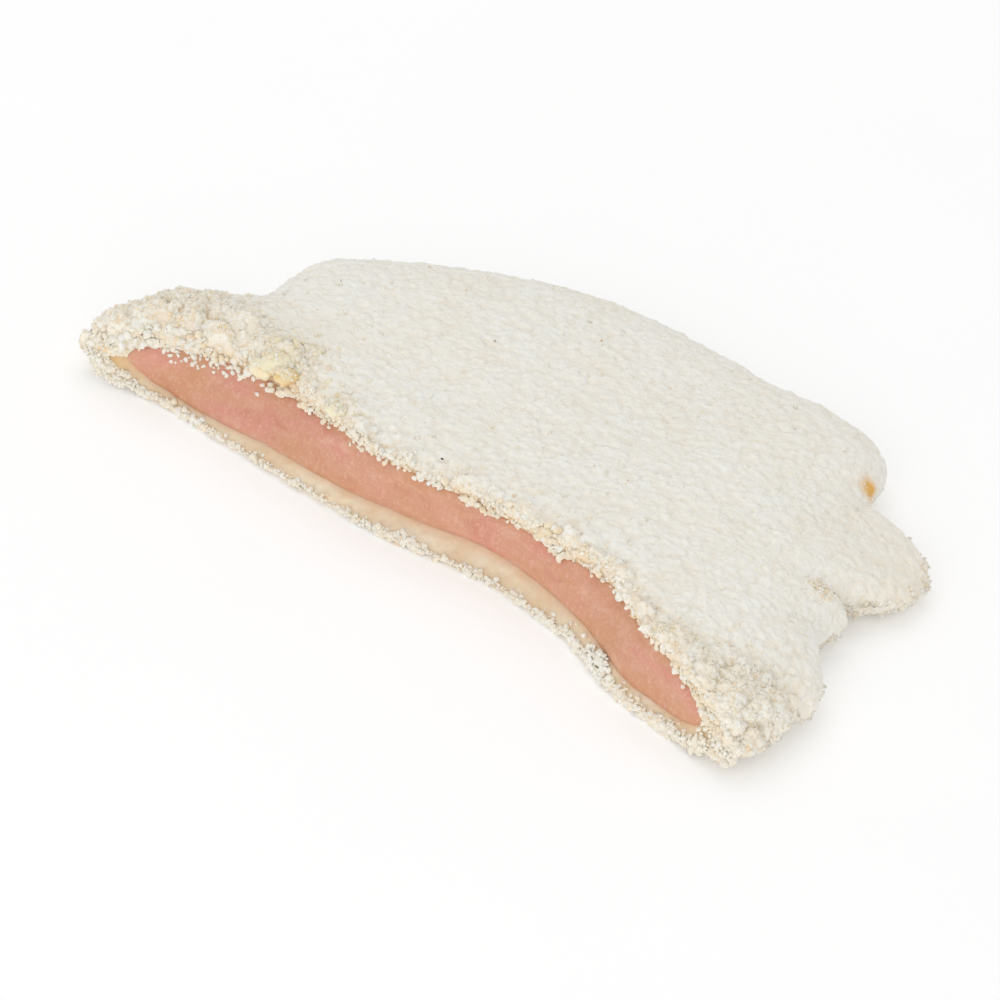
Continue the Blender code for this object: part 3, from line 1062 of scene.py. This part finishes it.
def lump_shapes(cuts, count, seed, angular=0.5):
    """Torn lumps of bread: a noisy ball with some sides broken off flat."""
    sphere, faces = ball(cuts)
    dice = np.random.default_rng(seed)
    shapes = []
    for k in range(count):
        shift = dice.uniform(0, 90, 3)
        r = 1.0 + 0.50 * grain(sphere * 1.25 + shift) + 0.34 * grain(sphere * 2.6 + shift)
        made = sphere * r[:, None]
        for _ in range(int(5 * angular) + 1):
            side = dice.normal(size=3)
            side /= np.linalg.norm(side)
            limit = dice.uniform(0.45, 0.8)
            over = np.maximum(0.0, made @ side - limit)
            made -= np.outer(over * 0.85, side)
        made *= dice.uniform((0.8, 0.7, 0.6), (1.25, 1.0, 0.9))
        shapes.append(made / np.abs(made).max())
    return np.array(shapes), faces


def turns(count, rng):
    """Random rotation matrices."""
    q = rng.normal(size=(count, 4))
    q /= np.linalg.norm(q, axis=1, keepdims=True)
    a, b, c, d = q.T
    return np.stack(
        [
            1 - 2 * (c * c + d * d), 2 * (b * c - a * d), 2 * (b * d + a * c),
            2 * (b * c + a * d), 1 - 2 * (b * b + d * d), 2 * (c * d - a * b),
            2 * (b * d - a * c), 2 * (c * d + a * b), 1 - 2 * (b * b + c * c),
        ],
        axis=1,
    ).reshape(-1, 3, 3)


def crumbs(name, at, up, size, tint, shapes, rng, flatten=0.8, soft=0.35, warm=0.6):
    """One piece of many lumps. at, up, size (radius in mm) and tint are per
    lump; flatten squeezes each along up. Fresh crumb is so loose that light
    goes through it: its shading leans towards the surface it lies on. Its
    lower side is tinted darker and warmer: painted shade."""
    kinds, faces = shapes
    count, corners = len(at), kinds.shape[1]
    pick = rng.integers(0, len(kinds), count)
    body = np.einsum("nij,nvj->nvi", turns(count, rng), kinds[pick])
    flatten = np.broadcast_to(flatten, (count,))
    along = np.einsum("nvi,ni->nv", body, up)
    body = body - (along * (1.0 - flatten)[:, None])[:, :, None] * up[:, None]
    outward = body / np.maximum(np.linalg.norm(body, axis=2, keepdims=True), 1e-9)
    height = np.einsum("nvi,ni->nv", outward, up)
    body = at[:, None] + body * size[:, None, None]
    body[:, :, 2] = np.maximum(body[:, :, 2], 0.05)
    normals = (1.0 - soft) * outward + soft * up[:, None]
    normals /= np.maximum(np.linalg.norm(normals, axis=2, keepdims=True), 1e-9)
    all_faces = (faces[None] + (np.arange(count) * corners)[:, None, None]).reshape(-1, 3)
    # Each lump has a cell of the map; its top faces the middle of the cell.
    side = math.ceil(math.sqrt(count))
    unit = kinds[pick] / np.maximum(np.linalg.norm(kinds[pick], axis=2, keepdims=True), 1e-9)
    away = np.arccos(np.clip(unit[:, :, 2], -1, 1)) / math.pi
    flatways = unit[:, :, :2] / np.maximum(
        np.linalg.norm(unit[:, :, :2], axis=2, keepdims=True), 1e-9
    )
    cell = np.stack([np.arange(count) % side, np.arange(count) // side], axis=1)
    uv = (cell[:, None] + 0.5 + 0.46 * away[:, :, None] * flatways) / side
    shade = 1.0 + 0.05 * grain(body.reshape(-1, 3) / 0.8)
    tints = np.repeat(tint, corners, axis=0) * np.clip(shade, 0.92, 1.02)[:, None]
    # Painted shade: the lower side of each lump is tinted darker and warmer.
    low = warm * np.clip(0.45 - 0.75 * height.reshape(-1), 0.0, 1.0)
    tints = mix(tints, tints * (1.0, 0.935, 0.83), low[:, None])
    piece = make(
        name, body.reshape(-1, 3), all_faces, crumb_bits, tints,
        uv=uv.reshape(-1, 2), normals=normals.reshape(-1, 3),
    )
    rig.slot(piece, "crumb")
    return piece


def crumb_tints(count, rng, spread=1.0):
    """Mostly white, some cream, few tan or yellow."""
    t = rng.random(count)[:, None]
    made = mix(WHITE, CREAM, np.clip(t * 0.9 * spread, 0, 1))
    dice = rng.random(count)
    for share, colour in ((0.030, TAN), (0.012, YELLOW), (0.003, ORANGE)):
        made[dice < share] = mix(colour, WHITE, 0.35)
    return made * rng.uniform(0.975, 1.01, (count, 1))


big_shapes = lump_shapes(1, 20, 5, 0.2)
hero_shapes = lump_shapes(2, 10, 9, 0.9)
small_shapes = lump_shapes(0, 24, 7, 0.2)


def off_the_cut(points):
    return step(-2.0, 0.5, from_cut(points))


def top_weight(points):
    return np.where(points[:, 2] > 2.0, 1.0, 0.10) * (1.0 + 0.8 * raggedness(points))


def loose_weight(points):
    return np.where(points[:, 2] > 3.0, 1.0, 0.0) * (0.02 + raggedness(points) ** 1.5)


def wetness(points, rng):
    """How yellow with egg a crumb is: mostly those near the cut."""
    place = np.clip(0.5 + layers(points, 5.0, 2), 0.0, 1.0)
    return raggedness(points) * place * rng.random(len(points))


def on_mounds(heaps):
    return lambda points: np.where(points[:, 2] > 3.0, mound(points, heaps), 0.0)


def scatter(
    name, count, low, high, sink, shapes, seed, weight, flatten, spread=1.0, wet=0.8, tones=None
):
    rng = np.random.default_rng(seed)
    at, i, j = spots_on(bed, count, weight, rng)
    up = final_normals[i, j]
    size = low + (high - low) * rng.random(count) ** 1.6
    lift = rng.uniform(*sink, count)[:, None] * size[:, None]
    tint = crumb_tints(count, rng, spread)
    if tones is None:
        tint = mix(tint, mix(YELLOW, WET, 0.5), np.clip(wet * 1.6 * wetness(at, rng), 0, 1)[:, None])
    else:
        tone = np.clip(wet * (0.5 + layers(at, 3.0, 2) + rng.uniform(-0.3, 0.5, count)), 0, 1)
        tint = mix(tint, mix(tones[0], tones[1], rng.random(count)[:, None]), tone[:, None])
    return crumbs(name, at + up * lift, up, size, tint, shapes, rng, flatten)


scatter("crumbs_fine", 5000, 0.16, 0.36, (-0.5, -0.05), small_shapes, 303, top_weight, 0.6)
scatter("crumbs_loose", 2000, 0.22, 0.60, (-0.3, 0.4), small_shapes, 202, loose_weight, 0.85)


def facing(count, rise, rng, spread=0.25):
    up = np.tile((0.0, -1.0, rise), (count, 1)) + rng.normal(0, spread, (count, 3))
    return up / np.linalg.norm(up, axis=1, keepdims=True)


EVERYWHERE = lambda p: np.ones(len(p))

def groups(strip, count, each, spread, rng, weight=None):
    """Places in little groups on a strip along the cut, close to the knife."""
    i = np.arange(8, len(strip) - 8)
    chance = np.cumsum(np.ones(len(i)) if weight is None else weight(strip[i, 0, 0]))
    i = i[np.searchsorted(chance, rng.random(count) * chance[-1])]
    j = rng.integers(0, strip.shape[1], count)
    owner = np.repeat(np.arange(count), rng.integers(each[0], each[1], count))
    at = strip[i, j][owner] + rng.normal(size=(len(owner), 3)) * spread
    at[:, 1] = knife(at[:, 0], at[:, 2]) - lip(at[:, 0], at[:, 2])
    return at, owner, (j / (strip.shape[1] - 1.0))[owner]


def damp_tint(count, damp, rng):
    tint = crumb_tints(count, rng, 1.1)
    wet = mix(YELLOW, WET, 0.7 * rng.random(count)[:, None])
    return mix(tint, wet, np.clip(damp, 0.0, 0.9)[:, None])


# Torn, wet crumb over the coat's upper cut edge, down to the meat.
rng = np.random.default_rng(404)
at, owner, share = groups(band_top, 120, (5, 15), (1.1, 0.0, 0.5), rng)
reach = rng.uniform(-0.6, 1.0, 120)[owner]
at[:, 1] -= rng.uniform(-0.5, 0.35, len(at)) + np.maximum(reach, 0.0) * rng.random(len(at))
at[:, 2] -= 0.5 * np.maximum(reach, 0.0) * share
size = rng.uniform(0.35, 1.05, len(at)) * rng.uniform(0.6, 1.15, 120)[owner]
brim = upper(at[:, 0], knife(at[:, 0], at[:, 2]) + 0.6, COAT)
at[:, 2] = np.minimum(at[:, 2], brim - 0.25 - 0.30 * size - 0.5 * np.maximum(reach, 0.0))
damp = rng.uniform(-0.6, 0.5, 120)[owner] + 0.3 * share + rng.uniform(-0.2, 0.2, len(at))
crumbs(
    "crumbs_upper_edge", at, facing(len(at), 1.3, rng), size, damp_tint(len(at), damp, rng),
    big_shapes, rng, 0.9,
)
at, i, j = spots_on(band_top, 1000, EVERYWHERE, rng)
share = (j + rng.random(len(at))) / (BAND - 1)
at[:, 1] -= rng.uniform(-0.4, 0.25, len(at))
at[:, 2] -= 0.5 * share * rng.random(len(at))
damp = 0.8 * share * (0.5 + layers(at, 5.0, 2)) + rng.uniform(-0.2, 0.3, len(at))
crumbs(
    "crumbs_upper_fine", at, facing(len(at), 0.8, rng), rng.uniform(0.22, 0.55, len(at)),
    damp_tint(len(at), damp, rng), small_shapes, rng, 0.9,
)

# Crumb along the coat's lower cut edge, standing up in tufts over the paste;
# to the right it hides most of the paste.
rng = np.random.default_rng(505)
at, owner, share = groups(
    band_low, 100, (5, 14), (1.0, 0.0, 0.32), rng,
    lambda x: 0.5 + 1.2 * step(92.0, 112.0, x) + 0.8 * bell(x - 70.0, 5.0) + bell(x - 16.0, 9.0),
)
climb = rng.random(100)[owner] ** 2 * (0.6 + 0.9 * step(92.0, 112.0, at[:, 0]))
at[:, 2] += climb * rng.random(len(at)) * 1.3
at[:, 1] = knife(at[:, 0], at[:, 2]) - lip(at[:, 0], at[:, 2]) - rng.uniform(-0.2, 0.45, len(at))
size = rng.uniform(0.30, 0.85, len(at)) * (1.0 - 0.25 * climb)
at[:, 2] = np.maximum(at[:, 2], 0.65 * size)
damp = rng.uniform(-0.5, 0.4, 100)[owner]
crumbs(
    "crumbs_lower_edge", at, facing(len(at), 0.9, rng), size, damp_tint(len(at), damp, rng),
    big_shapes, rng, 0.9,
)
at, i, j = spots_on(band_low, 1700, EVERYWHERE, rng)
share = (j + rng.random(len(at))) / (BAND - 1)
size = rng.uniform(0.20, 0.50, len(at))
at[:, 1] -= rng.uniform(-0.3, 0.3, len(at)) * (1.0 + share)
at[:, 2] += rng.normal(0.1, 0.2, len(at)) + 0.6 * share * rng.random(len(at)) ** 2
at[:, 2] = np.maximum(at[:, 2], size * 0.6)
crumbs(
    "crumbs_lower_fine", at, facing(len(at), 0.7, rng), size,
    damp_tint(len(at), rng.uniform(-0.3, 0.35, len(at)), rng), small_shapes, rng, 0.9,
)


def coat_top(x, y):
    return upper(x, y, COAT)


# The thick roll of crumb over the left end, clumps stuck together with egg,
# and the torn right end.
SINK = (-0.75, -0.15)
scatter("crumbs_roll", 420, 0.50, 1.25, SINK, big_shapes, 606, on_mounds(ROLL), 0.85,
        wet=0.35, tones=(CREAM, YELLOW))
scatter("crumbs_roll_fine", 900, 0.28, 0.70, (-0.6, 0.1), small_shapes, 607, on_mounds(ROLL),
        0.9, wet=0.35, tones=(CREAM, YELLOW))
scatter("clump_large", 150, 0.50, 1.20, (-0.5, 0.3), big_shapes, 708, on_mounds(CLUMP), 0.8,
        wet=0.9, tones=(lin(252, 238, 204), lin(251, 242, 218)))
scatter("clump_fine", 380, 0.24, 0.60, (-0.5, 0.3), small_shapes, 711, on_mounds(CLUMP), 0.8,
        wet=0.8, tones=(lin(252, 240, 208), WHITE))
scatter("clumps_small", 110, 0.40, 0.95, SINK, big_shapes, 709, on_mounds(SMALL_CLUMPS), 0.8,
        wet=0.9, tones=(YELLOW, CREAM))
scatter("clumps_small_fine", 700, 0.20, 0.45, SINK, small_shapes, 712, on_mounds(SMALL_CLUMPS),
        0.8, wet=0.7, tones=(YELLOW, CREAM))
scatter("crumbs_right_end", 260, 0.45, 1.15, SINK, big_shapes, 810, on_mounds(RIGHT_END), 0.8,
        wet=0.3, tones=(CREAM, YELLOW))
scatter("crumbs_right_fine", 700, 0.28, 0.70, (-0.6, 0.1), small_shapes, 811,
        on_mounds(RIGHT_END), 0.9, wet=0.2, tones=(TAN, YELLOW))

# Crumb hanging over the egg and flour at the left end, and at the right.
rng = np.random.default_rng(909)
count = 1100
at, i, j = spots_on(
    strip_top[:, 1:], count,
    lambda p: bell(p[:, 0] - 8.0, 9.0) + 0.6 * bell(p[:, 0] - 146.0, 6.0) + 0.05, rng,
)
at[:, 1] -= rng.uniform(-0.2, 0.4, count)
size = rng.uniform(0.2, 0.55, count)
tint = mix(crumb_tints(count, rng, 1.1), YELLOW, (0.6 * rng.random(count) ** 2)[:, None])
crumbs("crumbs_over_paste", at, facing(count, 0.5, rng), size, tint, small_shapes, rng, 0.85)

# The glazed lump of egg and flour under the large clump of crumb.
sphere, sphere_faces = ball(3)
blobs = (
    (34.6, 11.4, -0.2, 2.9, 3.6, 1.7, lin(250, 236, 200)),
    (32.6, 9.5, -1.2, 2.4, 1.8, 1.9, lin(248, 230, 190)),
    (37.4, 10.4, -0.9, 1.7, 2.4, 1.6, lin(242, 208, 150)),
    (49.6, 9.4, -1.0, 2.0, 1.8, 1.2, lin(250, 238, 208)),
    (128.6, 5.2, -0.8, 2.4, 1.6, 1.1, lin(248, 234, 200)),
)
points, faces, tints = [], [], []
for x, y, rise, wide, deep, high, colour in blobs:
    shape = sphere * (1.0 + 0.38 * layers(sphere * 1.3 + x, 1.0, 4, 0.6)[:, None])
    lumpy = shape * (wide, deep, high) + (x, y, float(coat_top(x, max(y, 8.0))) + rise)
    faces.append(sphere_faces + sum(len(p) for p in points))
    points.append(lumpy)
    patch = np.clip(0.5 + 1.2 * layers(lumpy, 1.8, 2), 0.0, 1.0)[:, None]
    tints.append(mix(colour, lin(243, 236, 216), 0.6 * patch))
over = np.concatenate(points)[:, :]
rng = np.random.default_rng(910)
over = over[(over[:, 2] > 9.0)]
pick = rng.integers(0, len(over), 420)
middle = np.array([(b[0], b[1], float(coat_top(b[0], max(b[1], 8.0))) + b[2]) for b in blobs])
nearest = np.argmin(np.linalg.norm(over[pick][:, None] - middle[None], axis=2), axis=1)
up = over[pick] - middle[nearest]
up /= np.linalg.norm(up, axis=1, keepdims=True)
keep = up[:, 2] + 0.8 * up[:, 1] > -0.2
tint = mix(crumb_tints(420, rng, 1.0), lin(250, 236, 202), rng.random((420, 1)))
crumbs(
    "clump_crumbs", over[pick][keep], up[keep], rng.uniform(0.3, 0.85, keep.sum()), tint[keep],
    big_shapes, rng, 0.85,
)
lump = make("clump_glazed", np.concatenate(points), np.concatenate(faces), paste, np.concatenate(tints))
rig.slot(lump, "egg_flour")

# Loose crumb on the upper left of the meat.
rng = np.random.default_rng(911)
count = 85
column = np.interp(
    rng.beta(1.6, 2.2, count) * 26.0 + 12.0, cut_top[:, 0], np.arange(MEAT_ALONG)
).astype(int)
row = (1 + MEAT_ROWS * 0.30 * rng.random(count) ** 2.6).astype(int)
at = face[column, row] - (0.0, 0.1, 0.0)
size = rng.uniform(0.22, 0.72, count)
tint = mix(crumb_tints(count, rng, 0.8), CREAM, 0.3)
crumbs("crumbs_on_meat", at, facing(count, 0.4, rng), size, tint, big_shapes, rng, 0.85)

# A lump on the lower edge, and one round crumb and a dark speck on top.
count = 90
at = rng.normal(0.0, 1.0, (count, 3)) * (1.7, 0.35, 0.7) + (116.4, 0.0, 2.3)
at[:, 2] = np.maximum(at[:, 2], 0.4)
at[:, 1] = knife(at[:, 0], at[:, 2]) - lip(at[:, 0], at[:, 2]) - rng.uniform(0.0, 1.1, count)
crumbs(
    "lump_lower_edge", at, facing(count, 0.2, rng), rng.uniform(0.35, 0.85, count),
    mix(crumb_tints(count, rng, 0.8), WHITE, 0.3), big_shapes, rng, 0.9,
)
spots = np.array([(58.6, 9.4), (71.4, 12.5), (52.9, 49.4), (23.2, 42.2), (96.0, 34.0), (64.0, 66.0)])
at = np.column_stack([spots, coat_top(spots[:, 0], spots[:, 1]) + 0.15])
at[0, 2] += 0.3
size = np.array([1.05, 0.42, 0.30, 0.26, 0.28, 0.24])
tint = np.array([WHITE, DARK, TAN * 0.7, TAN * 0.7, ORANGE, ORANGE])
up = np.tile((0.0, 0.0, 1.0), (len(at), 1))
crumbs("crumbs_single", at, up, size, tint, hero_shapes, rng, 0.9)

# Loose crumb caught in the crease beside the flap; its tan tint is painted shade of the crease.
rng = np.random.default_rng(1111)


def crease_weight(points):
    first = bell(np.hypot(points[:, 0] - 134.7, points[:, 1] - 41.0), 2.2)
    return first * (points[:, 2] > 2.0)


count = 110
at, i, j = spots_on(bed, count, crease_weight, rng)
# Painted shade: the crease crumbs lean towards tan.
tint = mix(crumb_tints(count, rng, 1.2), lin(244, 222, 184), rng.random((count, 1)) ** 2)
crumbs(
    "crumbs_crease", at, final_normals[i, j], rng.uniform(0.22, 0.60, count), tint, small_shapes,
    rng, 0.85,
)

# Small pointed crumb along the rim at the right.
rng = np.random.default_rng(1012)


def fringe_weight(points):
    low = step(0.1, 0.5, points[:, 2]) * step(6.0, 2.5, points[:, 2])
    right = step(118.0, 132.0, points[:, 0])
    return 0.04 * low + right * low


count = 1500
at, i, j = spots_on(bed, count, fringe_weight, rng)
up = final_normals[i, j]
size = rng.uniform(0.25, 0.85, count)
tint = mix(crumb_tints(count, rng, 1.2), TAN, (0.3 * rng.random(count))[:, None])
crumbs(
    "crumbs_fringe", at + up * (0.35 * size)[:, None], up, size, tint, small_shapes, rng,
    rng.uniform(0.8, 1.6, count),
)

total = sum(
    sum(len(p.vertices) - 2 for p in o.data.polygons)
    for o in bpy.data.objects
    if o.type == "MESH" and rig.alive(o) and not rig.is_stage(o)
)
print("triangles", total)

# ----------------------------------------------------- floor, light, camera
mesh = bpy.data.meshes.new("floor")
mesh.from_pydata([(-20, -20, 0), (20, -20, 0), (20, 20, 0), (-20, 20, 0)], [], [(0, 1, 2, 3)])
mesh.materials.append(floor_material())
floor = bpy.data.objects.new("floor", mesh)
bpy.context.scene.collection.objects.link(floor)
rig.stage(floor)

world = bpy.data.worlds.new("studio")
world.use_nodes = True
world.node_tree.nodes["Background"].inputs["Color"].default_value = (1.0, 1.0, 1.0, 1.0)
world.node_tree.nodes["Background"].inputs["Strength"].default_value = 0.66
bpy.context.scene.world = world

# The camera's right, up and backward directions in the row frame: 35 degrees
# above the horizon, 34 round from the cut, and rolled by 10.
RIGHT = Vector((0.759, 0.635, 0.142)).normalized()
UP = Vector((-0.461, 0.370, 0.807))
UP = (UP - UP.dot(RIGHT) * RIGHT).normalized()
BACK = RIGHT.cross(UP)


def lamp(name, direction, far, size, power, colour=(1.0, 1.0, 1.0)):
    light = bpy.data.lights.new(name, "AREA")
    light.shape = "SQUARE"
    light.size = size
    light.energy = power
    light.color = colour
    thing = bpy.data.objects.new(name, light)
    direction = Vector(direction).normalized()
    thing.location = direction * far
    thing.rotation_mode = "QUATERNION"
    thing.rotation_quaternion = direction.to_track_quat("Z", "Y")
    bpy.context.scene.collection.objects.link(thing)


lamp("softbox_key", (-0.45, 0.35, 1.0), 1.2, 1.1, 2.6, (1.0, 0.995, 0.985))
lamp("softbox_front", (0.35, -1.0, 0.40), 1.2, 1.1, 4.6)

target = RIGHT * 74.4 + UP * -22.96 + BACK * 9.86
target = (target - Vector((BOX_X, BOX_Y, 0.0))) * MM
camera_data = bpy.data.cameras.new("camera")
camera_data.lens = 452.0
camera_data.sensor_width = 36.0
camera_data.clip_start, camera_data.clip_end = 0.05, 20.0
camera = bpy.data.objects.new("camera", camera_data)
camera.matrix_world = Matrix.Translation(target + BACK * 2.2) @ Matrix(
    (
        (RIGHT.x, UP.x, BACK.x, 0.0),
        (RIGHT.y, UP.y, BACK.y, 0.0),
        (RIGHT.z, UP.z, BACK.z, 0.0),
        (0.0, 0.0, 0.0, 1.0),
    )
)
bpy.context.scene.collection.objects.link(camera)
bpy.context.scene.camera = camera
bpy.context.scene.view_settings.view_transform = "Standard"
bpy.context.scene.view_settings.look = "None"

low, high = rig.bounds()
with open("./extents.json", "w") as out:
    json.dump(
        {"cad": [list(CAD_LOW), list(CAD_HIGH)], "visual": [list(low), list(high)]}, out
    )
